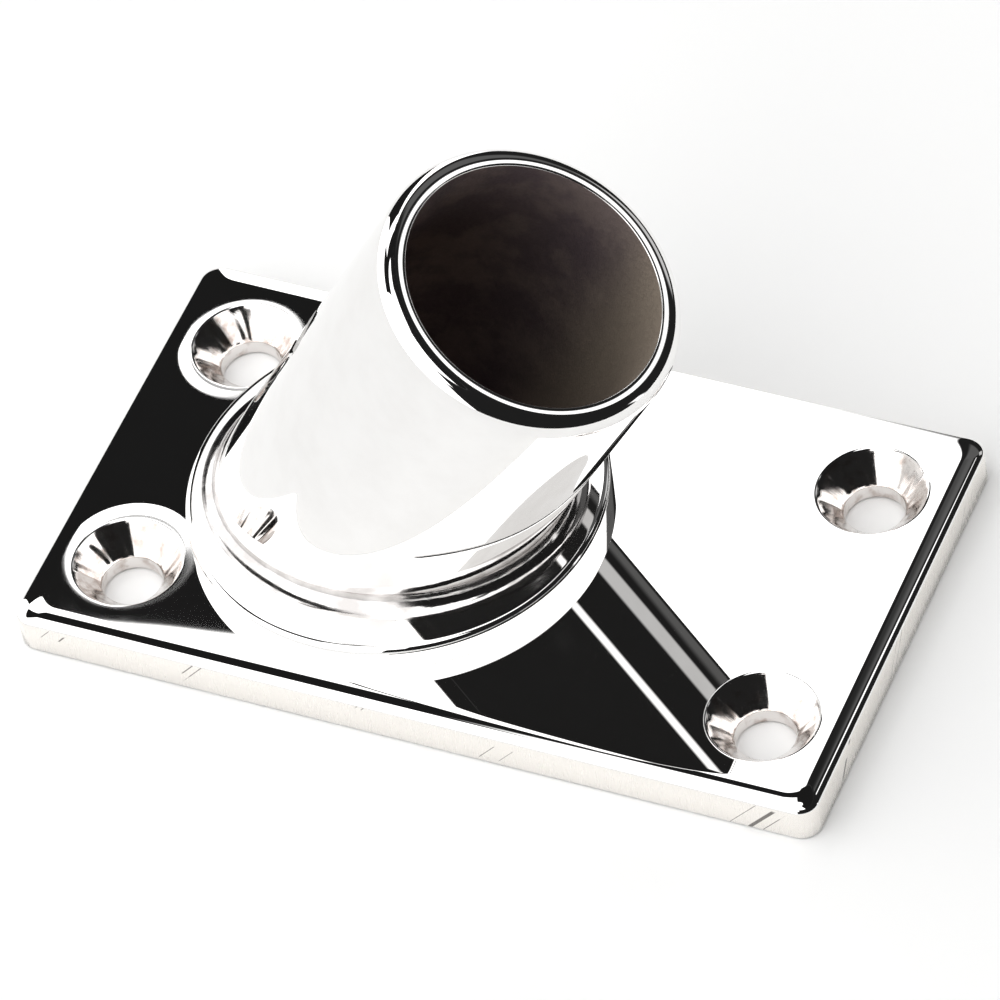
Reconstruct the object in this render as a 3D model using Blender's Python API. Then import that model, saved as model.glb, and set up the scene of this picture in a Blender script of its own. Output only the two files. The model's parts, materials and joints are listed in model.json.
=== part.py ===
"""Stanchion base: a round rail socket that leans at 60 degrees on a rectangular deck plate.

Metres, +Z up. The origin is the centre of the plate's underside. The socket leans towards +X.
"""

import math

import bmesh
import bpy
from mathutils import Matrix, Vector

# Deck plate
PLATE_LENGTH = 0.0735
PLATE_WIDTH = 0.0424
PLATE_THICKNESS = 0.0040
PLATE_CORNER_RADIUS = 0.0018
PLATE_EDGE_RADIUS = 0.0010

# Countersunk fastener holes, at the corners of a rectangle centred on the plate
HOLE_SPACING_X = 0.0584
HOLE_SPACING_Y = 0.0256
HOLE_RADIUS = 0.0026
COUNTERSINK_RADIUS = 0.00478
COUNTERSINK_ANGLE = math.radians(82)

# Rail socket: its axis leaves the plate's top at SOCKET_FOOT_X and rises towards +X
SOCKET_LEAN = math.radians(60)
SOCKET_FOOT_X = -0.0115
SOCKET_LENGTH = 0.0383
SOCKET_OUTER_RADIUS = 0.01335
SOCKET_BORE_RADIUS = 0.0112
RIM_OUTER_ROUNDING = 0.0010
RIM_INNER_ROUNDING = 0.0003

# Flange round the socket's foot, and the fillet between the two
FLANGE_CENTRE_X = -0.0091
FLANGE_RADIUS = 0.0183
FLANGE_HEIGHT = 0.0025
FLANGE_EDGE_RADIUS = 0.0006
FILLET_RADIUS = 0.0014

# Set screw through the socket's wall at its back, the side that faces away from the lean
SCREW_ALONG_SOCKET = 0.0160
SCREW_RADIUS = 0.0024
SCREW_LENGTH = 0.0020
SCREW_CHAMFER = 0.0003
SCREW_CUP_RADIUS = 0.0012
SCREW_CUP_DEPTH = 0.0004
SCREW_RECESS = 0.0001
HEX_ACROSS_FLATS = 0.0024
HEX_DEPTH = 0.0010
THREAD_CLEARANCE = 0.00005

# Gap between pieces that touch on the real object
SEAT_GAP = 0.0001

SOCKET_SEGMENTS = 72
FLANGE_SEGMENTS = 96
HOLE_SEGMENTS = 40
SCREW_SEGMENTS = 24
ROUNDING_STEPS = 4
FILLET_STEPS = 7

# Linear colour, roughness, metallic
POLISHED_STEEL = ((0.80, 0.79, 0.77), 0.08, 1.0)
SCREW_STEEL = ((0.45, 0.44, 0.43), 0.30, 1.0)

SOCKET_AXIS = Vector((math.cos(SOCKET_LEAN), 0.0, math.sin(SOCKET_LEAN)))
SOCKET_BACK = Vector((-math.sin(SOCKET_LEAN), 0.0, math.cos(SOCKET_LEAN)))
SOCKET_SIDE = Vector((0.0, -1.0, 0.0))
SOCKET_FOOT = Vector((SOCKET_FOOT_X, 0.0, PLATE_THICKNESS))
SCREW_AXIS = SOCKET_BACK
SCREW_AXIS_START = SOCKET_FOOT + SOCKET_AXIS * SCREW_ALONG_SOCKET


def clear_scene():
    for old in list(bpy.data.objects):
        bpy.data.objects.remove(old, do_unlink=True)


def make_material(name, look):
    colour, roughness, metallic = look
    material = bpy.data.materials.new(name)
    material.use_nodes = True
    shader = material.node_tree.nodes["Principled BSDF"]
    shader.inputs["Base Color"].default_value = (*colour, 1.0)
    shader.inputs["Roughness"].default_value = roughness
    shader.inputs["Metallic"].default_value = metallic
    material.diffuse_color = (*colour, 1.0)
    return material


def add_object(name, mesh, look):
    body = bpy.data.objects.new(name, mesh)
    bpy.context.scene.collection.objects.link(body)
    body.data.materials.append(make_material(name + "_metal", look))
    body.data.shade_smooth()
    body.data.set_sharp_from_angle(angle=math.radians(32))
    return body


def add_cutter(name, mesh):
    """A shape that is only subtracted from others."""
    cutter = bpy.data.objects.new(name, mesh)
    bpy.context.scene.collection.objects.link(cutter)
    cutter.hide_render = True
    cutter.display_type = "WIRE"
    return cutter


def cut(body, cutter):
    boolean = body.modifiers.new("cut_" + cutter.name, "BOOLEAN")
    boolean.operation = "DIFFERENCE"
    boolean.object = cutter


def mesh_from(bm, name):
    mesh = bpy.data.meshes.new(name)
    bm.to_mesh(mesh)
    bm.free()
    return mesh


def loft_rings(name, rings, closed_loop=False):
    """A skin over rings of equal point count. The ends are capped unless the last ring meets the first."""
    bm = bmesh.new()
    loops = [[bm.verts.new(point) for point in ring] for ring in rings]
    count = len(rings[0])
    spans = len(loops) if closed_loop else len(loops) - 1
    for row in range(spans):
        lower, upper = loops[row], loops[(row + 1) % len(loops)]
        for i in range(count):
            j = (i + 1) % count
            bm.faces.new((lower[i], lower[j], upper[j], upper[i]))
    if not closed_loop:
        bm.faces.new(reversed(loops[0]))
        bm.faces.new(loops[-1])
    bmesh.ops.recalc_face_normals(bm, faces=bm.faces)
    return mesh_from(bm, name)


def turned(name, profile, segments):
    """A solid of revolution about Z from (radius, height) points, listed from the bottom to the top."""
    rings = []
    for radius, height in profile:
        turns = [math.tau * i / segments for i in range(segments)]
        rings.append([Vector((radius * math.cos(a), radius * math.sin(a), height)) for a in turns])
    return loft_rings(name, rings)


def arc(centre, radius, start, end, steps):
    """(x, y) points of a circular arc, ends included."""
    angles = [start + (end - start) * i / steps for i in range(steps + 1)]
    return [(centre[0] + radius * math.cos(a), centre[1] + radius * math.sin(a)) for a in angles]


def bar(name, radius, segments, start, axis, length):
    """A round cutter from start along axis, with a flat facing the same way as the piece it cuts."""
    mesh = turned(name, [(radius, 0.0), (radius, length)], segments)
    turn = axis.to_track_quat("Z", "Y").to_matrix().to_4x4()
    mesh.transform(Matrix.Translation(start) @ turn)
    return add_cutter(name, mesh)


# ---- socket geometry ----------------------------------------------------------------------------


def outward(turn):
    """The unit direction from the socket's axis at this turn, measured from its back to its -Y side."""
    return SOCKET_BACK * math.cos(turn) + SOCKET_SIDE * math.sin(turn)


def socket_point(turn, radius, along):
    return SOCKET_FOOT + SOCKET_AXIS * along + outward(turn) * radius


def along_at_height(turn, radius, height):
    """How far along the axis the line at this turn and radius reaches a height above the origin."""
    rise = height - SOCKET_FOOT.z - outward(turn).z * radius
    return rise / SOCKET_AXIS.z


def socket_turns():
    return [math.tau * (i + 0.5) / SOCKET_SEGMENTS for i in range(SOCKET_SEGMENTS)]


def level_ring(radius, height):
    """The section of a cylinder round the socket's axis by a level plane."""
    return [socket_point(a, radius, along_at_height(a, radius, height)) for a in socket_turns()]


def square_ring(radius, along):
    return [socket_point(a, radius, along) for a in socket_turns()]


# ---- pieces -------------------------------------------------------------------------------------


def rounded_rectangle(length, width, radius, height):
    points = []
    corners = ((1, 1, 0), (-1, 1, 90), (-1, -1, 180), (1, -1, 270))
    for side_x, side_y, start in corners:
        centre = (side_x * (length / 2 - radius), side_y * (width / 2 - radius))
        first = math.radians(start)
        points += arc(centre, radius, first, first + math.pi / 2, ROUNDING_STEPS)
    return [Vector((x, y, height)) for x, y in points]


def add_base_plate():
    edge_centre = (PLATE_EDGE_RADIUS, PLATE_THICKNESS - PLATE_EDGE_RADIUS)
    rounding = arc(edge_centre, PLATE_EDGE_RADIUS, math.pi, math.pi / 2, ROUNDING_STEPS)
    rings = []
    for inset, height in [(0.0, 0.0)] + rounding:
        length, width = PLATE_LENGTH - 2 * inset, PLATE_WIDTH - 2 * inset
        rings.append(rounded_rectangle(length, width, PLATE_CORNER_RADIUS - inset, height))
    plate = add_object("base_plate", loft_rings("base_plate", rings), POLISHED_STEEL)
    for side_x in (-1, 1):
        for side_y in (-1, 1):
            centre = (side_x * HOLE_SPACING_X / 2, side_y * HOLE_SPACING_Y / 2)
            cut(plate, add_fastener_cutter(centre))
    return plate


def add_fastener_cutter(centre):
    """A countersunk fastener's shape, standing past both faces of the plate."""
    slope = math.tan(COUNTERSINK_ANGLE / 2)
    cone_depth = (COUNTERSINK_RADIUS - HOLE_RADIUS) / slope
    over = PLATE_THICKNESS / 4
    profile = [
        (HOLE_RADIUS, -over),
        (HOLE_RADIUS, PLATE_THICKNESS - cone_depth),
        (COUNTERSINK_RADIUS + over * slope, PLATE_THICKNESS + over),
    ]
    mesh = turned("fastener_cutter", profile, HOLE_SEGMENTS)
    mesh.transform(Matrix.Translation((*centre, 0.0)))
    return add_cutter("fastener_cutter", mesh)


def add_foot_flange():
    bottom = PLATE_THICKNESS + SEAT_GAP
    top = PLATE_THICKNESS + FLANGE_HEIGHT
    edge_centre = (FLANGE_RADIUS - FLANGE_EDGE_RADIUS, top - FLANGE_EDGE_RADIUS)
    rounding = arc(edge_centre, FLANGE_EDGE_RADIUS, 0.0, math.pi / 2, ROUNDING_STEPS)
    mesh = turned("foot_flange", [(FLANGE_RADIUS, bottom)] + rounding, FLANGE_SEGMENTS)
    mesh.transform(Matrix.Translation((FLANGE_CENTRE_X, 0.0, 0.0)))
    flange = add_object("foot_flange", mesh, POLISHED_STEEL)
    radius = SOCKET_OUTER_RADIUS + SEAT_GAP
    opening = [level_ring(radius, PLATE_THICKNESS / 2), level_ring(radius, top + FLANGE_HEIGHT)]
    cut(flange, add_cutter("socket_opening", loft_rings("socket_opening", opening)))
    return flange


def add_weld_fillet():
    """The band left by a ball that rolls round the socket on the flange's top."""
    wall = SOCKET_OUTER_RADIUS + SEAT_GAP
    floor = PLATE_THICKNESS + FLANGE_HEIGHT + SEAT_GAP
    sections = []
    for turn in socket_turns():
        away = outward(turn)
        ball = socket_point(
            turn,
            wall + FILLET_RADIUS,
            along_at_height(turn, wall + FILLET_RADIUS, floor + FILLET_RADIUS),
        )
        to_wall, to_floor = -away, Vector((0.0, 0.0, -1.0))
        sweep = to_floor.angle(to_wall)
        hinge = to_floor.cross(to_wall).normalized()
        corner = socket_point(turn, wall, along_at_height(turn, wall, floor))
        section = [corner]
        for step in range(FILLET_STEPS + 1):
            lean = Matrix.Rotation(sweep * step / FILLET_STEPS, 3, hinge)
            section.append(ball + (lean @ to_floor) * FILLET_RADIUS)
        sections.append(section)
    mesh = loft_rings("weld_fillet", sections, closed_loop=True)
    return add_object("weld_fillet", mesh, POLISHED_STEEL)


def add_socket_tube():
    outer, bore = SOCKET_OUTER_RADIUS, SOCKET_BORE_RADIUS
    bottom = PLATE_THICKNESS + SEAT_GAP
    rim_arc = arc(
        (outer - RIM_OUTER_ROUNDING, SOCKET_LENGTH - RIM_OUTER_ROUNDING),
        RIM_OUTER_ROUNDING,
        0.0,
        math.pi / 2,
        ROUNDING_STEPS + 1,
    )
    lip_arc = arc(
        (bore + RIM_INNER_ROUNDING, SOCKET_LENGTH - RIM_INNER_ROUNDING),
        RIM_INNER_ROUNDING,
        math.pi / 2,
        math.pi,
        ROUNDING_STEPS - 1,
    )
    rings = [level_ring(outer, bottom)]
    rings += [square_ring(radius, along) for radius, along in rim_arc + lip_arc]
    rings.append(level_ring(bore, bottom))
    mesh = loft_rings("socket_tube", rings, closed_loop=True)
    tube = add_object("socket_tube", mesh, POLISHED_STEEL)
    start = SCREW_AXIS_START + SCREW_AXIS * (bore / 2)
    radius = SCREW_RADIUS + THREAD_CLEARANCE
    cut(tube, bar("screw_hole", radius, SCREW_SEGMENTS, start, SCREW_AXIS, outer))
    return tube


def add_set_screw():
    """The screw lies along its own Z, with its driven end at the origin and its point below."""
    tip = -SCREW_LENGTH
    profile = [
        (SCREW_CUP_RADIUS / 3, tip + SCREW_CUP_DEPTH),
        (SCREW_CUP_RADIUS, tip),
        (SCREW_RADIUS - SCREW_CHAMFER, tip),
        (SCREW_RADIUS, tip + SCREW_CHAMFER),
        (SCREW_RADIUS, -SCREW_CHAMFER),
        (SCREW_RADIUS - SCREW_CHAMFER, 0.0),
    ]
    screw = add_object("set_screw", turned("set_screw", profile, SCREW_SEGMENTS), SCREW_STEEL)
    hex_radius = HEX_ACROSS_FLATS / math.sqrt(3)
    socket = turned("hex_socket", [(hex_radius, -HEX_DEPTH), (hex_radius, HEX_DEPTH)], 6)
    hex_cutter = add_cutter("hex_socket", socket)
    cut(screw, hex_cutter)

    # With no rail in the socket, the driven end sits just under the outside of the wall.
    screw.location = SCREW_AXIS_START + SCREW_AXIS * (SOCKET_OUTER_RADIUS - SCREW_RECESS)
    screw.rotation_euler = SCREW_AXIS.to_track_quat("Z", "Y").to_euler()
    hex_cutter.parent = screw
    return screw


def build():
    clear_scene()
    add_base_plate()
    add_foot_flange()
    add_weld_fillet()
    add_socket_tube()
    add_set_screw()


build()
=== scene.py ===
"""Looks of the stanchion base: finished shells over the CAD frame, a studio floor, lights and a camera.

Metres, +Z up. The origin is the centre of the plate's underside and the socket leans towards +X.
"""

import json
import math
import bmesh
import bpy
from mathutils import Matrix, Vector


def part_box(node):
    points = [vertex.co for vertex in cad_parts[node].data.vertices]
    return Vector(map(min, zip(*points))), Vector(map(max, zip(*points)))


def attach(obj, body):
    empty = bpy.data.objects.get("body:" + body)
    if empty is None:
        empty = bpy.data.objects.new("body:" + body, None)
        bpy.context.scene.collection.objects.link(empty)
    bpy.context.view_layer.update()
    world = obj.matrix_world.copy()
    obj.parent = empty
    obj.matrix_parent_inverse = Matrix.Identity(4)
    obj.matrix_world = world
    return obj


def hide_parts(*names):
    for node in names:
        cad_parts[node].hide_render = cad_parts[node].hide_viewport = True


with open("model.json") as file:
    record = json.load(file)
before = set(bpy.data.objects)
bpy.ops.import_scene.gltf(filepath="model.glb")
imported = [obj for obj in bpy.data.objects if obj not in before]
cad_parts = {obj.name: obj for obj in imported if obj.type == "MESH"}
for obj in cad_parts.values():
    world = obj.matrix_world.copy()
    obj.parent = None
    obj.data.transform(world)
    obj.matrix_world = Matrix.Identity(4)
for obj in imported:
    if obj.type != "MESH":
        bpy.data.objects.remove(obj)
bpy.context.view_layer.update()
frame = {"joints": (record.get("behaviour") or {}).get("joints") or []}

MM = 0.001

# ---- sizes ----------------------------------------------------------------------------------------

PLATE_LOW, PLATE_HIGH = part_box("base_plate")
FLANGE_LOW, FLANGE_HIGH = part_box("foot_flange")
HALF_LENGTH = PLATE_HIGH.x
HALF_WIDTH = PLATE_HIGH.y
PLATE_TOP = PLATE_HIGH.z
CORNER_RADIUS = 1.8 * MM
# Polishing has rolled the plate's top edges over, further inwards than down.
SHOULDER_WIDTH = 1.8 * MM
SHOULDER_HEIGHT = 0.85 * MM
UNDER_EDGE = 0.15 * MM
# A narrow flat ring beside each rounded edge keeps the flat's shading flat.
GUARD_RING = 0.1 * MM
# Slack for telling by its place which surface a face belongs to.
MARGIN = 0.05 * MM
FINE_MARGIN = 0.02 * MM

HOLE_X = 29.2 * MM
HOLE_Y = 12.8 * MM
HOLE_RADIUS = 2.6 * MM
COUNTERSINK_RADIUS = 4.78 * MM
COUNTERSINK_SLOPE = math.tan(math.radians(41))
HOLE_EDGE = 0.12 * MM
# The countersinking tool has left a ripple: (waves per turn, start of the wave, height in mm).
CHATTER = ((7, 0.4, 0.020), (11, 2.1, 0.016), (19, 4.0, 0.014), (29, 1.2, 0.007))
CHATTER_TWIST = 1.3 / MM
# Polishing draws the surface down a little round each countersink, more towards the plate's middle.
DISH_RADIUS = 6.4 * MM
DISH_SHIFT = 0.5 * MM
DISH_DEPTH_MM = 0.055

SCREW_AXIS = Vector(frame["joints"][0]["axis"]).normalized()
SOCKET_AXIS = Vector((SCREW_AXIS.z, 0.0, -SCREW_AXIS.x))
SOCKET_SIDE = Vector((0.0, -1.0, 0.0))
SOCKET_FOOT = Vector((-11.5 * MM, 0.0, PLATE_TOP))
SOCKET_LENGTH = 38.3 * MM
OUTER_RADIUS = 13.35 * MM
BORE_RADIUS = 11.2 * MM
RIM_ROUNDING = 1.5 * MM
RIM_INNER_ROUNDING = 0.12 * MM
SOCKET_SEAT_GAP = 0.05 * MM
# The part of the plate's top that the socket covers is left unpolished.
RAW_PATCH_RADIUS = OUTER_RADIUS - 1.0 * MM

FLANGE_CENTRE = (FLANGE_LOW.x + FLANGE_HIGH.x) / 2
FLANGE_RADIUS = FLANGE_HIGH.y
FLANGE_TOP = FLANGE_HIGH.z
FLANGE_ROUNDING = 0.6 * MM
FLANGE_SEAT_GAP = 0.02 * MM
FLANGE_SLEEVE_RADIUS = OUTER_RADIUS - 0.2 * MM
FILLET_RADIUS = 1.4 * MM
FILLET_ROOT = 0.1 * MM
TONGUE_LENGTH = 0.15 * MM
TONGUE_SINK = 0.004 * MM
# The flange's top is buffed towards this bearing (0 is -Y, 90 degrees is +X), from this far out.
BUFFED_SIDE = math.radians(75)
BUFFED_FROM = 9.5 * MM
BUFFED_FADE = 1.5 * MM

SCREW_ALONG_SOCKET = 16.0 * MM
SCREW_RADIUS = 2.4 * MM
SCREW_LENGTH = 2.0 * MM
SCREW_RECESS = 0.1 * MM
THREAD_PITCH = 0.8 * MM
THREAD_DEPTH = 0.30 * MM
THREAD_FLANK = 2.6
THREAD_CREST = 0.15
THREAD_LEAD = 0.45 * MM
SCREW_CLEARANCE = 0.05 * MM
SCREW_HOLE_CHAMFER = 0.3 * MM
SCREW_HOLE_OVERRUN = 2.0 * MM
# In mm: the cup as (radius, height above the point), and the hexagon as (half its width across flats,
# height), measured from the driven end.
SCREW_CUP = ((0.2, 0.40), (0.6, 0.37), (1.0, 0.24), (1.2, 0.04), (1.3, 0.0), (1.6, 0.0))
HEX_SOCKET = ((1.38, 0.0), (1.2, -0.12), (1.2, -0.9), (1.0, -1.0), (0.3, -1.1))

TURN_STEPS = 240
HOLE_STEPS = 160
CONE_RINGS = 9
FILLET_STEPS = 22
SCREW_STEPS = 48
THREAD_STEPS = 64


# ---- mesh helpers -----------------------------------------------------------------------------------


def arc(centre, radii, start, end, steps):
    """(u, v) points of an elliptical arc between two angles in degrees, ends included."""
    points = []
    for i in range(steps + 1):
        angle = math.radians(start + (end - start) * i / steps)
        points.append((centre[0] + radii[0] * math.cos(angle), centre[1] + radii[1] * math.sin(angle)))
    return points


def on_circle(centre, radius, angle, height):
    """The point at this angle on a level circle."""
    return Vector((centre[0] + radius * math.cos(angle), centre[1] + radius * math.sin(angle), height))


def add_rings(bm, rings, closed_rows=False):
    """Skins rows of points with quads, and returns the rows of vertices."""
    rows = [[bm.verts.new(point) for point in ring] for ring in rings]
    count = len(rows[0])
    last = len(rows) if closed_rows else len(rows) - 1
    for i in range(last):
        lower, upper = rows[i], rows[(i + 1) % len(rows)]
        for j in range(count):
            k = (j + 1) % count
            bm.faces.new((lower[j], lower[k], upper[k], upper[j]))
    return rows


def loop_edges(bm, row):
    return [bm.edges.get((row[i], row[(i + 1) % len(row)])) for i in range(len(row))]


def finish_piece(bm, name, body, nodes, sharp=35):
    """Turns a bmesh into a piece that rides on a body and stands for CAD nodes."""
    bmesh.ops.recalc_face_normals(bm, faces=bm.faces)
    mesh = bpy.data.meshes.new(name)
    bm.to_mesh(mesh)
    bm.free()
    mesh.shade_smooth()
    mesh.set_sharp_from_angle(angle=math.radians(sharp))
    piece = bpy.data.objects.new(name, mesh)
    bpy.context.scene.collection.objects.link(piece)
    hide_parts(*nodes)
    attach(piece, body)
    return piece


# ---- the plate --------------------------------------------------------------------------------------


def plate_outline(inset, height):
    """The plate's outline moved inwards at one height, its corners kept round."""
    reach_x, reach_y = HALF_LENGTH - inset, HALF_WIDTH - inset
    points = []
    for side_x, side_y, start in ((1, 1, 0), (-1, 1, 90), (-1, -1, 180), (1, -1, 270)):
        centre = (side_x * (reach_x - CORNER_RADIUS), side_y * (reach_y - CORNER_RADIUS))
        points += arc(centre, (CORNER_RADIUS, CORNER_RADIUS), start, start + 90, 16)
    return [Vector((x, y, height)) for x, y in points]


def hole_profile():
    """(radius, height) from the flat top, down the countersink, to the flat underside."""
    cone_depth = (COUNTERSINK_RADIUS - HOLE_RADIUS) / COUNTERSINK_SLOPE
    profile = [(COUNTERSINK_RADIUS + 2 * HOLE_EDGE, PLATE_TOP), (COUNTERSINK_RADIUS + HOLE_EDGE, PLATE_TOP)]
    profile.append((COUNTERSINK_RADIUS + HOLE_EDGE * 0.35, PLATE_TOP - HOLE_EDGE * 0.15))
    profile.append((COUNTERSINK_RADIUS - HOLE_EDGE * 0.3, PLATE_TOP - HOLE_EDGE * 0.7))
    for i in range(1, CONE_RINGS):
        part = i / CONE_RINGS
        radius = COUNTERSINK_RADIUS + (HOLE_RADIUS - COUNTERSINK_RADIUS) * part
        profile.append((radius, PLATE_TOP - cone_depth * part))
    waist = PLATE_TOP - cone_depth
    profile.append((HOLE_RADIUS + HOLE_EDGE * 0.3, waist + HOLE_EDGE * 0.35))
    profile.append((HOLE_RADIUS, waist - HOLE_EDGE * 0.4))
    profile.append((HOLE_RADIUS, UNDER_EDGE))
    profile.append((HOLE_RADIUS + UNDER_EDGE, 0.0))
    profile.append((HOLE_RADIUS + UNDER_EDGE * 3, 0.0))
    return profile


def chatter(angle, depth, start):
    """How far the cone's wall stands proud at this angle; the ripple twists a little on its way down."""
    ripple = 0.0
    for waves, shift, height in CHATTER:
        ripple += height * MM * math.sin(waves * angle + shift + start + CHATTER_TWIST * depth)
    return ripple


def hole_rings(centre, profile, start):
    rings = []
    for radius, height in profile:
        between = HOLE_RADIUS + MARGIN < radius < COUNTERSINK_RADIUS - MARGIN
        on_cone = between and height > UNDER_EDGE
        ring = []
        for i in range(HOLE_STEPS):
            angle = math.tau * i / HOLE_STEPS
            reach = radius + (chatter(angle, PLATE_TOP - height, start) if on_cone else 0.0)
            ring.append(on_circle(centre, reach, angle, height))
        rings.append(ring)
    return rings


def add_plate():
    bm = bmesh.new()
    rings = []
    for inset, height in ((3.0, 0.0), (1.0, 0.0), (0.3, 0.3), (0.0, 1.0)):
        rings.append(plate_outline(inset * UNDER_EDGE, height * UNDER_EDGE))
    for across, up in arc((1.0, 0.0), (1.0, 1.0), 180, 90, 16):
        rings.append(plate_outline(SHOULDER_WIDTH * across, PLATE_TOP - SHOULDER_HEIGHT * (1.0 - up)))
    rings.append(plate_outline(SHOULDER_WIDTH + GUARD_RING, PLATE_TOP))
    rows = add_rings(bm, rings)
    bottom_edges = loop_edges(bm, rows[0])
    top_edges = loop_edges(bm, rows[-1])
    profile = hole_profile()
    for side_x in (-1, 1):
        for side_y in (-1, 1):
            centre = (side_x * HOLE_X, side_y * HOLE_Y)
            hole = add_rings(bm, hole_rings(centre, profile, start=side_x + 2.5 * side_y))
            top_edges += loop_edges(bm, hole[0])
            bottom_edges += loop_edges(bm, hole[-1])
    raw_patch = [bm.verts.new(point) for point in level_ring(RAW_PATCH_RADIUS, PLATE_TOP)]
    raw_edges = [bm.edges.new((raw_patch[i - 1], raw_patch[i])) for i in range(len(raw_patch))]
    top_edges += raw_edges
    for edges in (bottom_edges, top_edges):
        bmesh.ops.triangle_fill(bm, use_beauty=True, use_dissolve=False, edges=edges)
    bmesh.ops.triangle_fill(bm, use_beauty=True, use_dissolve=False, edges=raw_edges)
    return finish_piece(bm, "polished_plate", "base", ["base_plate"])


# ---- the socket -------------------------------------------------------------------------------------


def outward(turn):
    """The unit direction from the socket's axis at this turn, from its back round its -Y side."""
    return SCREW_AXIS * math.cos(turn) + SOCKET_SIDE * math.sin(turn)


def socket_point(turn, radius, along):
    return SOCKET_FOOT + SOCKET_AXIS * along + outward(turn) * radius


def along_at_height(turn, radius, height):
    rise = height - SOCKET_FOOT.z - outward(turn).z * radius
    return rise / SOCKET_AXIS.z


def turns():
    return [math.tau * i / TURN_STEPS for i in range(TURN_STEPS)]


def level_ring(radius, height):
    return [socket_point(a, radius, along_at_height(a, radius, height)) for a in turns()]


def square_ring(radius, along):
    return [socket_point(a, radius, along) for a in turns()]


def add_socket():
    """The tube with its rounded rim, its foot cut level just above the plate, and the set screw's hole."""
    foot = PLATE_TOP + SOCKET_SEAT_GAP
    rim = arc(
        (OUTER_RADIUS - RIM_ROUNDING, SOCKET_LENGTH - RIM_ROUNDING), (RIM_ROUNDING, RIM_ROUNDING), 0, 90, 14
    )
    lip = arc(
        (BORE_RADIUS + RIM_INNER_ROUNDING, SOCKET_LENGTH - RIM_INNER_ROUNDING),
        (RIM_INNER_ROUNDING, RIM_INNER_ROUNDING),
        90,
        180,
        6,
    )
    rings = [level_ring(OUTER_RADIUS, foot)]
    rings += [square_ring(radius, along) for radius, along in rim + lip]
    rings.append(level_ring(BORE_RADIUS, foot))
    bm = bmesh.new()
    add_rings(bm, rings, closed_rows=True)
    piece = finish_piece(bm, "polished_socket", "base", ["socket_tube"])
    cut = piece.modifiers.new("screw_hole", "BOOLEAN")
    cut.operation = "DIFFERENCE"
    cut.solver = "EXACT"
    cut.object = screw_hole_cutter()
    return piece


def screw_hole_cutter():
    """The shape of the set screw's hole: a plain bore with a chamfer at the tube's outer surface."""
    radius = SCREW_RADIUS + SCREW_CLEARANCE
    chamfer_foot = OUTER_RADIUS - SCREW_HOLE_CHAMFER
    far_out = OUTER_RADIUS + SCREW_HOLE_CHAMFER
    profile = (
        (BORE_RADIUS - SCREW_HOLE_OVERRUN, radius),
        (chamfer_foot, radius),
        (far_out, radius + 2 * SCREW_HOLE_CHAMFER),
    )
    foot = SOCKET_FOOT + SOCKET_AXIS * SCREW_ALONG_SOCKET
    to_axis = SCREW_AXIS.to_track_quat("Z", "Y").to_matrix()
    bm = bmesh.new()
    rings = []
    for out, size in profile:
        ring = []
        for i in range(SCREW_STEPS):
            angle = math.tau * (i + 0.5) / SCREW_STEPS
            ring.append(foot + to_axis @ Vector((size * math.cos(angle), size * math.sin(angle), out)))
        rings.append(ring)
    rows = add_rings(bm, rings)
    bm.faces.new(rows[0])
    bm.faces.new(rows[-1])
    bmesh.ops.recalc_face_normals(bm, faces=bm.faces)
    mesh = bpy.data.meshes.new("screw_hole_shape")
    bm.to_mesh(mesh)
    bm.free()
    cutter = bpy.data.objects.new("screw_hole_shape", mesh)
    cutter.hide_render = True
    bpy.context.scene.collection.objects.link(cutter)
    return cutter


def add_flange():
    """The low round flange: its rounded edge, its flat top and its side, open where the socket fills it."""
    rounding = arc(
        (FLANGE_RADIUS - FLANGE_ROUNDING, FLANGE_TOP - FLANGE_ROUNDING),
        (FLANGE_ROUNDING, FLANGE_ROUNDING),
        0,
        90,
        10,
    )
    foot = PLATE_TOP + FLANGE_SEAT_GAP
    profile = [(FLANGE_RADIUS, foot)] + rounding
    profile.append((FLANGE_RADIUS - FLANGE_ROUNDING - GUARD_RING, FLANGE_TOP))
    rings = []
    for radius, height in profile:
        rings.append([on_circle((FLANGE_CENTRE, 0.0), radius, a, height) for a in turns()])
    bm = bmesh.new()
    rows = add_rings(bm, rings)
    sleeve = [ring_facing_plus_x(level_ring(FLANGE_SLEEVE_RADIUS, height)) for height in (FLANGE_TOP, foot)]
    inner = add_rings(bm, sleeve)
    for one, other in ((rows[-1], inner[0]), (inner[-1], rows[0])):
        bmesh.ops.bridge_loops(bm, edges=loop_edges(bm, one) + loop_edges(bm, other))
    return finish_piece(bm, "polished_flange", "base", ["foot_flange"])


def ring_facing_plus_x(ring):
    """The same ring, turned to start at +X and to run the way that angles grow."""
    start = max(range(len(ring)), key=lambda i: ring[i].x)
    turned = ring[start:] + ring[:start]
    if turned[len(turned) // 4].y < 0:
        turned = [turned[0]] + turned[:0:-1]
    return turned


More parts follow.
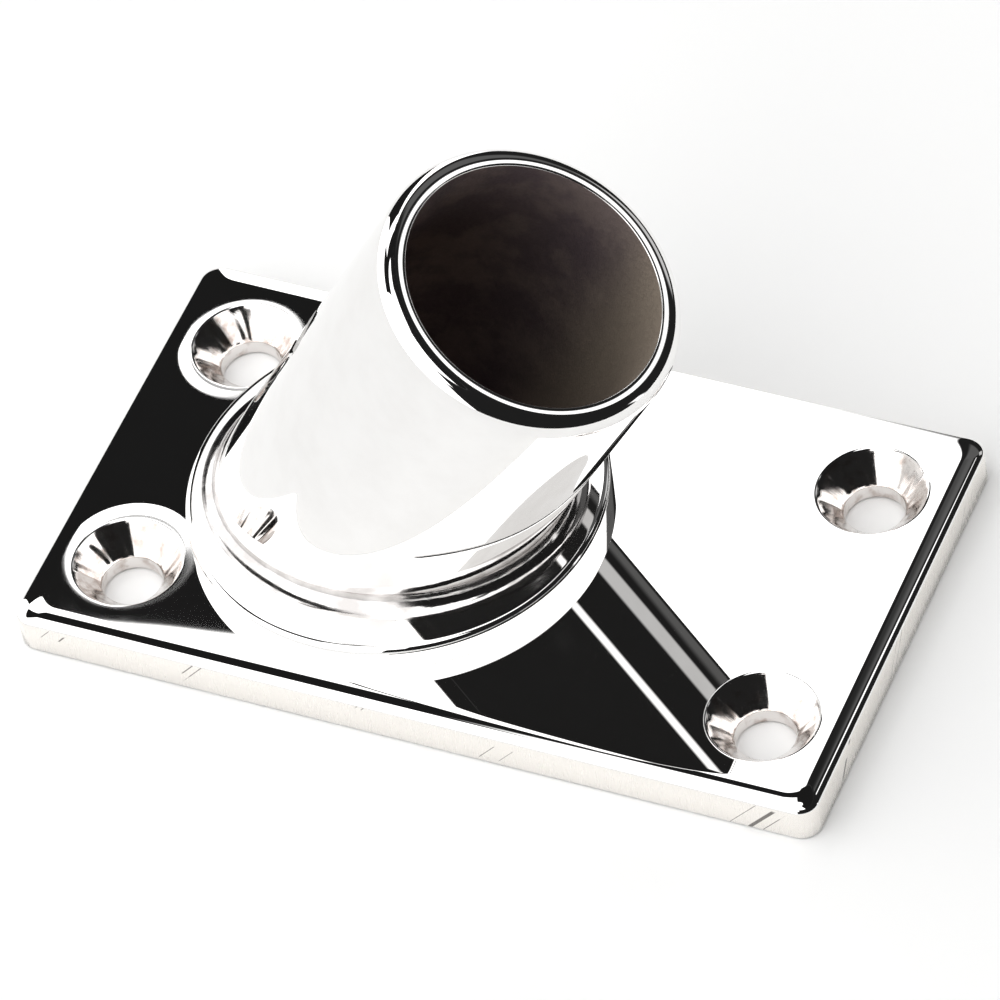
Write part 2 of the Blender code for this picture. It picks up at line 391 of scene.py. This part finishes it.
def add_fillet():
    """The concave band left by a ball rolling round the socket on the flange's top."""
    reach = OUTER_RADIUS + FILLET_RADIUS
    buried = OUTER_RADIUS - FILLET_ROOT
    to_floor = Vector((0.0, 0.0, -1.0))
    rings = []
    for turn in turns():
        away = outward(turn)
        ball = socket_point(turn, reach, along_at_height(turn, reach, FLANGE_TOP + FILLET_RADIUS))
        to_wall = -away
        sweep = to_floor.angle(to_wall)
        hinge = to_floor.cross(to_wall).normalized()
        section = []
        for step in range(FILLET_STEPS + 1):
            lean = Matrix.Rotation(sweep * step / FILLET_STEPS, 3, hinge)
            section.append(ball + (lean @ to_floor) * FILLET_RADIUS)
        # Short tongues under the flange's top and the socket's wall carry the curve on out of sight.
        toe_out = (section[0] - section[1]).normalized()
        toe_out.z = 0.0
        first = section[0] + toe_out.normalized() * TONGUE_LENGTH + to_floor * TONGUE_SINK
        last = section[-1] + SOCKET_AXIS * TONGUE_LENGTH - away * TONGUE_SINK
        corner = socket_point(turn, buried, along_at_height(turn, buried, FLANGE_TOP - FILLET_ROOT))
        rings.append([corner, first] + section + [last])
    bm = bmesh.new()
    add_rings(bm, rings, closed_rows=True)
    return finish_piece(bm, "polished_fillet", "base", ["weld_fillet"], sharp=60)


def add_screw():
    """A headless set screw: a threaded shank, a hex socket at the outer end and a cup at the point."""

    def thread_radius(turn, along):
        phase = (along / THREAD_PITCH - turn / math.tau) % 1.0
        groove = min(1.0, max(0.0, abs(phase - 0.5) * THREAD_FLANK - THREAD_CREST))
        radius = SCREW_RADIUS - THREAD_DEPTH * groove
        fade_low = min(1.0, along / THREAD_LEAD)
        fade_high = min(1.0, (SCREW_LENGTH - along) / THREAD_LEAD)
        taper = THREAD_LEAD * (2.0 - fade_low - fade_high)
        return min(radius, SCREW_RADIUS - taper)

    def hex_radius(turn, flat):
        local = (turn + math.pi / 6) % (math.pi / 3) - math.pi / 6
        return flat / math.cos(local)

    turn_list = [math.tau * i / SCREW_STEPS for i in range(SCREW_STEPS)]
    rings = []
    for cup_radius, depth in SCREW_CUP:
        rings.append([(cup_radius * MM, a, -SCREW_LENGTH + depth * MM) for a in turn_list])
    for i in range(THREAD_STEPS + 1):
        along = SCREW_LENGTH * i / THREAD_STEPS
        rings.append([(thread_radius(a, along), a, -SCREW_LENGTH + along) for a in turn_list])
    for flat, height in HEX_SOCKET:
        rings.append([(hex_radius(a, flat * MM), a, height * MM) for a in turn_list])
    bm = bmesh.new()
    to_axis = SCREW_AXIS.to_track_quat("Z", "Y").to_matrix()
    outer_end = SOCKET_FOOT + SOCKET_AXIS * SCREW_ALONG_SOCKET + SCREW_AXIS * (OUTER_RADIUS - SCREW_RECESS)
    points = []
    for ring in rings:
        row = []
        for radius, a, height in ring:
            row.append(outer_end + to_axis @ Vector((radius * math.cos(a), radius * math.sin(a), height)))
        points.append(row)
    rows = add_rings(bm, points)
    bm.faces.new(rows[0])
    bm.faces.new(rows[-1])
    return finish_piece(bm, "threaded_set_screw", "set_screw", ["set_screw"])


plate = add_plate()
socket = add_socket()
flange = add_flange()
fillet = add_fillet()
screw = add_screw()

# ---- looks ------------------------------------------------------------------------------------------


class Nodes:
    """Short forms for building one material's or world's node tree."""

    def __init__(self, tree):
        self.tree = tree
        tree.nodes.clear()

    def add(self, kind, inputs=None, **settings):
        node = self.tree.nodes.new(kind)
        for key, value in settings.items():
            setattr(node, key, value)
        for key, value in (inputs or {}).items():
            if isinstance(value, bpy.types.NodeSocket):
                self.tree.links.new(value, node.inputs[key])
            else:
                node.inputs[key].default_value = value
        return node

    def math(self, operation, a, b=0.0, c=0.0, clamp=False):
        inputs = {0: a, 1: b, 2: c}
        return self.add("ShaderNodeMath", inputs, operation=operation, use_clamp=clamp).outputs[0]

    def map(self, value, low, high, to_low=0.0, to_high=1.0):
        """value carried smoothly from low..high to to_low..to_high."""
        inputs = {0: value, 1: low, 2: high, 3: to_low, 4: to_high}
        return self.add("ShaderNodeMapRange", inputs, interpolation_type="SMOOTHSTEP").outputs[0]

    def mix(self, factor, a, b):
        return self.add("ShaderNodeMix", {0: factor, 6: a, 7: b}, data_type="RGBA").outputs[2]

    def noise(self, vector, scale, detail=2.0, roughness=0.5):
        inputs = {"Vector": vector, "Scale": scale, "Detail": detail, "Roughness": roughness}
        return self.add("ShaderNodeTexNoise", inputs).outputs[0]

    def stretched(self, vector, scale):
        return self.add("ShaderNodeMapping", {"Vector": vector, "Scale": scale}).outputs[0]

    def bump(self, height, distance, strength=1.0, normal=None):
        inputs = {"Height": height, "Distance": distance, "Strength": strength}
        if normal is not None:
            inputs["Normal"] = normal
        return self.add("ShaderNodeBump", inputs).outputs[0]


def new_material(name):
    material = bpy.data.materials.new(name)
    material.use_nodes = True
    return material, Nodes(material.node_tree)


def close_material(nodes, colour, roughness, metallic, normal):
    inputs = {"Base Color": colour, "Roughness": roughness, "Metallic": metallic, "Normal": normal}
    shader = nodes.add("ShaderNodeBsdfPrincipled", inputs)
    nodes.add("ShaderNodeOutputMaterial", {"Surface": shader.outputs[0]})


def polished_metal(name, wave_height=0.02, dullness=0.05, dished=False):
    """Buffed metal: a mirror with long soft waves (height in mm), hairline scratches and a faint haze.

    A dished one is drawn down a little and duller beside the countersinks.
    """
    material, nodes = new_material(name)
    place = nodes.add("ShaderNodeTexCoord").outputs["Object"]
    waves = nodes.noise(place, 90.0, 1.0)
    hairline = nodes.noise(nodes.stretched(place, (9000.0, 500.0, 4000.0)), 1.0, 1.0)
    haze = nodes.noise(place, 260.0, 4.0, 0.6)
    roughness = nodes.map(haze, 0.35, 0.75, dullness * 0.4, dullness)
    colour = nodes.mix(nodes.map(haze, 0.3, 0.8), (0.90, 0.893, 0.885, 1.0), (0.86, 0.85, 0.84, 1.0))
    normal = nodes.bump(waves, wave_height * MM)
    normal = nodes.bump(hairline, wave_height * MM / 80, 0.5, normal)
    if dished:
        part = beside_hole(nodes, place)
        height = nodes.math("MULTIPLY", nodes.math("POWER", part, 2.5), -DISH_DEPTH_MM)
        normal = nodes.bump(height, MM, 1.0, normal)
        roughness = nodes.math("MAXIMUM", roughness, nodes.map(part, 0.1, 0.7, 0.008, 0.12))
    close_material(nodes, colour, roughness, 1.0, normal)
    return material


def beside_hole(nodes, place):
    """0 away from the countersinks, growing to 1 at the edges of the two at -X and far less at +X."""
    x, y = nodes.add("ShaderNodeSeparateXYZ", {0: place}).outputs[:2]
    from_x = nodes.math("SUBTRACT", nodes.math("ABSOLUTE", x), HOLE_X)
    from_y = nodes.math("SUBTRACT", nodes.math("ABSOLUTE", y), HOLE_Y - DISH_SHIFT)
    squares = nodes.math("MULTIPLY_ADD", from_x, from_x, nodes.math("MULTIPLY", from_y, from_y))
    inside = nodes.math("SUBTRACT", DISH_RADIUS, nodes.math("SQRT", squares))
    part = nodes.math("DIVIDE", inside, DISH_RADIUS - COUNTERSINK_RADIUS, clamp=True)
    return nodes.math("MULTIPLY", part, nodes.map(x, -MM, MM, 1.0, 0.15))


def satin_metal(name):
    """The flange's flat top: satin and bright, but polished on the side below the socket's overhang."""
    material, nodes = new_material(name)
    place = nodes.add("ShaderNodeTexCoord").outputs["Object"]
    haze = nodes.noise(place, 500.0, 4.0, 0.6)
    grain = nodes.noise(nodes.stretched(place, (900.0, 900.0, 900.0)), 1.0, 3.0)
    colour = nodes.mix(nodes.map(haze, 0.3, 0.7), (0.95, 0.94, 0.925, 1.0), (0.90, 0.885, 0.87, 1.0))
    x, y = nodes.add("ShaderNodeSeparateXYZ", {0: place}).outputs[:2]
    toward_x = nodes.math("MULTIPLY", nodes.math("SUBTRACT", x, FLANGE_CENTRE), math.sin(BUFFED_SIDE))
    toward = nodes.math("SUBTRACT", toward_x, nodes.math("MULTIPLY", y, math.cos(BUFFED_SIDE)))
    satin = nodes.map(toward, BUFFED_FROM + BUFFED_FADE, BUFFED_FROM - BUFFED_FADE)
    satin_roughness = nodes.map(haze, 0.3, 0.7, 0.30, 0.40)
    roughness = nodes.math("MULTIPLY", satin_roughness, nodes.map(satin, 0.0, 1.0, 0.1, 1.0))
    normal = nodes.bump(grain, 0.004 * MM, 0.5)
    close_material(nodes, colour, roughness, nodes.map(satin, 0.0, 1.0, 1.0, 0.25), normal)
    return material


def weld_metal(name):
    """The dressed weld: greyer than the polished metal, with streaks that run round the socket."""
    material, nodes = new_material(name)
    place = nodes.add("ShaderNodeTexCoord").outputs["Object"]
    streaks = nodes.noise(nodes.stretched(place, (260.0, 260.0, 2600.0)), 1.0, 3.0, 0.6)
    blotch = nodes.noise(place, 400.0, 3.0)
    colour = nodes.mix(nodes.map(blotch, 0.35, 0.7), (0.74, 0.72, 0.71, 1.0), (0.50, 0.48, 0.47, 1.0))
    roughness = nodes.map(blotch, 0.3, 0.7, 0.07, 0.17)
    normal = nodes.bump(streaks, 0.030 * MM, 0.8)
    close_material(nodes, colour, roughness, 1.0, normal)
    return material


def ground_edge(name):
    """The plate's sides: ground along the height, with a satin finish and a few deeper marks."""
    material, nodes = new_material(name)
    place = nodes.add("ShaderNodeTexCoord").outputs["Object"]
    grain = nodes.noise(nodes.stretched(place, (5200.0, 5200.0, 350.0)), 1.0, 2.0)
    x, y, z = nodes.add("ShaderNodeSeparateXYZ", {0: place}).outputs
    leaned = nodes.math("SUBTRACT", nodes.math("ADD", x, y), nodes.math("MULTIPLY", z, 0.85))
    lines = nodes.noise(nodes.add("ShaderNodeCombineXYZ", {0: leaned}).outputs[0], 170.0, 2.0)
    beside = nodes.math("ABSOLUTE", nodes.math("SUBTRACT", lines, 0.60))
    broken = nodes.map(nodes.noise(nodes.stretched(place, (90.0, 90.0, 500.0)), 1.0, 1.0), 0.46, 0.52)
    mark = nodes.math("MULTIPLY", nodes.map(beside, 0.006, 0.003), broken)
    colour = nodes.mix(mark, (0.93, 0.90, 0.86, 1.0), (0.20, 0.19, 0.18, 1.0))
    roughness = nodes.map(grain, 0.3, 0.7, 0.16, 0.30)
    normal = nodes.bump(grain, 0.004 * MM, 0.7)
    close_material(nodes, colour, roughness, 1.0, normal)
    return material


def turned_metal(name):
    """A countersink or a hole's wall as the cutter left it: fine rings, bright."""
    material, nodes = new_material(name)
    place = nodes.add("ShaderNodeTexCoord").outputs["Object"]
    height = nodes.add("ShaderNodeSeparateXYZ", {0: place}).outputs[2]
    rings = nodes.math("SINE", nodes.math("MULTIPLY", height, math.tau / (0.09 * MM)))
    grime = nodes.noise(place, 700.0, 3.0)
    colour = nodes.mix(nodes.map(grime, 0.45, 0.75), (0.88, 0.85, 0.83, 1.0), (0.52, 0.44, 0.40, 1.0))
    roughness = nodes.map(grime, 0.3, 0.7, 0.05, 0.14)
    normal = nodes.bump(rings, 0.001 * MM, 0.6)
    close_material(nodes, colour, roughness, 1.0, normal)
    return material


def raw_bore(name):
    """The unpolished inside of the socket: dark drawn metal with a brown cast, and painted light on its
    lower wall.
    """
    material, nodes = new_material(name)
    place = nodes.add("ShaderNodeTexCoord").outputs["Object"]
    blotch = nodes.noise(place, 180.0, 5.0, 0.62)
    grain = nodes.noise(place, 3800.0, 2.0)
    x, _, z = nodes.add("ShaderNodeSeparateXYZ", {0: place}).outputs
    # Painted light, growing towards the socket's lower wall: the light falling in at the mouth is painted
    # as a brighter colour there than on the upper wall.
    lower = nodes.math("SUBTRACT", x, nodes.math("MULTIPLY", z, SOCKET_AXIS.x / SOCKET_AXIS.z))
    painted_light_lower_wall = nodes.map(lower, SOCKET_FOOT.x + 1.0 * MM, SOCKET_FOOT.x + 9.0 * MM)
    stain = nodes.mix(nodes.map(blotch, 0.40, 0.62), (0.15, 0.115, 0.125, 1.0), (0.24, 0.19, 0.18, 1.0))
    # The lighter brown mixed in here is painted light on the lower wall, not a change in the metal.
    colour = nodes.mix(painted_light_lower_wall, stain, (0.36, 0.30, 0.24, 1.0))
    roughness = nodes.map(grain, 0.3, 0.7, 0.45, 0.65)
    normal = nodes.bump(grain, 0.010 * MM, 0.6)
    close_material(nodes, colour, roughness, 0.5, normal)
    return material


def underside_metal(name):
    """The hidden face: belt-ground flat, dull, with long parallel scratches."""
    material, nodes = new_material(name)
    place = nodes.add("ShaderNodeTexCoord").outputs["Object"]
    grain = nodes.noise(nodes.stretched(place, (120.0, 6200.0, 1.0)), 1.0, 3.0)
    stain = nodes.noise(place, 120.0, 4.0)
    colour = nodes.mix(nodes.map(stain, 0.4, 0.7), (0.66, 0.65, 0.63, 1.0), (0.52, 0.50, 0.48, 1.0))
    roughness = nodes.map(grain, 0.3, 0.7, 0.28, 0.46)
    normal = nodes.bump(grain, 0.006 * MM, 0.8)
    close_material(nodes, colour, roughness, 1.0, normal)
    return material


def screw_metal(name):
    """Plain turned steel with a light stain."""
    material, nodes = new_material(name)
    place = nodes.add("ShaderNodeTexCoord").outputs["Object"]
    stain = nodes.noise(place, 900.0, 3.0)
    colour = nodes.mix(nodes.map(stain, 0.35, 0.7), (0.50, 0.49, 0.48, 1.0), (0.38, 0.37, 0.36, 1.0))
    roughness = nodes.map(stain, 0.3, 0.7, 0.22, 0.38)
    normal = nodes.bump(stain, 0.006 * MM, 0.5)
    close_material(nodes, colour, roughness, 1.0, normal)
    return material


def give(piece, materials, choose):
    """Each face takes the material that choose picks by the face's centre and normal."""
    for material in materials:
        piece.data.materials.append(material)
    for face in piece.data.polygons:
        face.material_index = choose(face.center, face.normal)


# The height of a face's unit normal tells how it lies: below the first, within the second, above the third.
FACES_DOWN = -0.9
UPRIGHT = 0.15
LEVEL = 0.999


def plate_finish(centre, normal):
    """0 polished, 1 ground sides, 2 turned holes, 3 underside, 4 raw where the socket stands."""
    if normal.z < FACES_DOWN:
        return 3
    if centre.z > PLATE_TOP - FINE_MARGIN / 2 and inside_socket(centre):
        return 4
    in_hole = math.hypot(abs(centre.x) - HOLE_X, abs(centre.y) - HOLE_Y) < COUNTERSINK_RADIUS - MARGIN
    if in_hole and centre.z < PLATE_TOP - HOLE_EDGE / 2:
        return 2
    if abs(normal.z) < UPRIGHT:
        return 1
    return 0


def from_axis(point):
    """How far a point is from the socket's axis."""
    from_foot = point - SOCKET_FOOT
    return (from_foot - SOCKET_AXIS * from_foot.dot(SOCKET_AXIS)).length


def inside_socket(point):
    return from_axis(point) < RAW_PATCH_RADIUS + MARGIN


def socket_finish(centre, normal):
    """0 polished, 1 raw bore."""
    return 1 if from_axis(centre) < BORE_RADIUS + FINE_MARGIN else 0


def flange_finish(centre, normal):
    """0 polished, 1 satin top."""
    return 1 if normal.z > LEVEL else 0


give(
    plate,
    [
        polished_metal("plate_polish", wave_height=0.001, dullness=0.012, dished=True),
        ground_edge("plate_sides"),
        turned_metal("countersink_turning"),
        underside_metal("plate_underside"),
        raw_bore("plate_under_socket"),
    ],
    plate_finish,
)
give(socket, [polished_metal("socket_polish"), raw_bore("bore_surface")], socket_finish)
give(flange, [polished_metal("flange_polish"), satin_metal("flange_satin")], flange_finish)
give(fillet, [weld_metal("dressed_weld")], lambda centre, normal: 0)
give(screw, [screw_metal("screw_steel_finish")], lambda centre, normal: 0)


# ---- studio -----------------------------------------------------------------------------------------


FLOOR_HALF_WIDTH = 3.0
FLOOR_GAP = 0.05 * MM


def add_floor():
    bm = bmesh.new()
    bmesh.ops.create_grid(bm, x_segments=1, y_segments=1, size=FLOOR_HALF_WIDTH)
    mesh = bpy.data.meshes.new("studio_floor")
    bm.to_mesh(mesh)
    bm.free()
    floor = bpy.data.objects.new("studio_floor", mesh)
    floor.location.z = -FLOOR_GAP
    bpy.context.scene.collection.objects.link(floor)
    material, nodes = new_material("pale_floor")
    shader = nodes.add("ShaderNodeBsdfDiffuse", {"Color": (0.93, 0.93, 0.925, 1.0)})
    nodes.add("ShaderNodeOutputMaterial", {"Surface": shader.outputs[0]})
    mesh.materials.append(material)


# Soft panels round the studio: (azimuth, half width, lowest, highest, edge softness) in degrees, the
# climb of its top edge per degree of azimuth, and brightness. Azimuth 0 is the -Y side and grows
# towards +X. A later panel covers an earlier one.
ROOM_LIGHT = 1.95
PANELS = (
    (108.0, 89.0, -90.0, 59.0, 1.2, 0.0, 0.015),
    (15.0, 5.0, -90.0, 42.0, 0.5, 0.0, 0.015),
    (168.0, 17.0, 30.0, 54.0, 3.0, 0.0, 0.11),
    (225.0, 13.5, -90.0, 46.87, 0.012, -0.23, 0.012),
    (237.0, 48.0, 60.5, 71.0, 0.6, 0.0, 0.012),
    (110.0, 2.6, -20.0, 12.0, 1.0, 0.0, 1.4),
    (150.0, 7.0, 12.0, 30.0, 1.5, 0.0, 0.62),
    (139.5, 3.5, 39.0, 45.0, 0.8, 0.0, 1.5),
)
# Panels that only show in what is mirrored once, such as the plate's rolled corners.
ONCE_PANELS = (
    (265.0, 20.0, 47.0, 61.5, 0.6, 0.0, 0.012),
    (130.0, 72.0, 58.0, 82.0, 0.6, 0.0, 0.012),
)
# Panels that only show in what is mirrored twice, such as the flange's image in the plate.
TWICE_PANELS = (
    (78.0, 86.0, 43.0, 60.0, 1.0, 0.0, ROOM_LIGHT),
    (201.0, 9.0, 51.5, 64.0, 0.8, 0.0, 0.012),
)


def behind_panel(nodes, light, azimuth, elevation, panel, shown):
    """The light that arrives from each direction once this panel covers a part of it."""
    middle, half_width, low, high, soft, climb, brightness = panel
    turned = nodes.math("SUBTRACT", azimuth, middle)
    turned = nodes.math("WRAP", turned, 180.0, -180.0)
    aside = nodes.math("ABSOLUTE", turned)
    inside = nodes.map(aside, half_width + soft, half_width - soft)
    above = nodes.map(elevation, low - soft, low + soft)
    levelled = nodes.math("SUBTRACT", elevation, nodes.math("MULTIPLY", turned, climb))
    below = nodes.map(levelled, high + soft, high - soft)
    across = nodes.math("MULTIPLY", inside, above)
    cover = nodes.math("MULTIPLY", across, nodes.math("MULTIPLY", below, shown))
    kept = nodes.math("MULTIPLY", light, nodes.math("SUBTRACT", 1.0, cover))
    return nodes.math("ADD", kept, nodes.math("MULTIPLY", cover, brightness))


def add_world():
    world = bpy.data.worlds.new("studio")
    bpy.context.scene.world = world
    world.use_nodes = True
    nodes = Nodes(world.node_tree)
    axes = nodes.add("ShaderNodeSeparateXYZ", {0: nodes.add("ShaderNodeTexCoord").outputs["Generated"]})
    x, y, z = axes.outputs
    turn = nodes.math("ARCTAN2", x, nodes.math("MULTIPLY", y, -1.0))
    azimuth = nodes.math("MULTIPLY", turn, 180 / math.pi)
    elevation = nodes.math("MULTIPLY", nodes.math("ARCSINE", z), 180 / math.pi)
    path = nodes.add("ShaderNodeLightPath")
    light = ROOM_LIGHT
    again = nodes.math("GREATER_THAN", path.outputs["Ray Depth"], 2.5)
    twice = nodes.math("MULTIPLY", path.outputs["Is Glossy Ray"], again)
    once = nodes.math("SUBTRACT", path.outputs["Is Glossy Ray"], twice)
    for panels, shown in ((PANELS, 1.0), (ONCE_PANELS, once), (TWICE_PANELS, twice)):
        for panel in panels:
            light = behind_panel(nodes, light, azimuth, elevation, panel, shown)
    # The panels stand for what the metal mirrors once or twice; the backdrop and anything mirrored
    # more often than that is plain bright room.
    often = nodes.math("GREATER_THAN", path.outputs["Ray Depth"], 3.5)
    plain = nodes.math("MAXIMUM", path.outputs["Is Camera Ray"], often)
    kept = nodes.math("MULTIPLY", light, nodes.math("SUBTRACT", 1.0, plain))
    shown = nodes.math("ADD", kept, plain)
    sky = nodes.add("ShaderNodeBackground", {"Color": (1.0, 1.0, 1.0, 1.0), "Strength": shown})
    nodes.add("ShaderNodeOutputWorld", {"Surface": sky.outputs[0]})


# Azimuth (as for the panels), elevation and roll in degrees; the lens and the sensor are in mm.
CAMERA_ANGLES = (30.72, 49.33, -10.82)
CAMERA_DISTANCE = 0.7015
CAMERA_LENS = 295.8
CAMERA_SENSOR = 36.0
CAMERA_SHIFT = (-0.0044, 0.0565)


def add_camera():
    """The photograph's viewpoint: a long lens, tipped a little to the left."""
    azimuth, elevation, roll = (math.radians(angle) for angle in CAMERA_ANGLES)
    back = Vector(
        (
            math.sin(azimuth) * math.cos(elevation),
            -math.cos(azimuth) * math.cos(elevation),
            math.sin(elevation),
        )
    )
    level = Vector((math.cos(azimuth), math.sin(azimuth), 0.0))
    upright = back.cross(level)
    right = level * math.cos(roll) + upright * math.sin(roll)
    up = upright * math.cos(roll) - level * math.sin(roll)
    lens = bpy.data.cameras.new("camera")
    lens.lens = CAMERA_LENS
    lens.sensor_width = CAMERA_SENSOR
    lens.shift_x, lens.shift_y = CAMERA_SHIFT
    camera = bpy.data.objects.new("camera", lens)
    bpy.context.scene.collection.objects.link(camera)
    turn = Matrix((right, up, back)).transposed().to_4x4()
    camera.matrix_world = Matrix.Translation(back * CAMERA_DISTANCE) @ turn
    bpy.context.scene.camera = camera


add_floor()
add_world()
add_camera()
bpy.context.scene.view_settings.view_transform = "Standard"
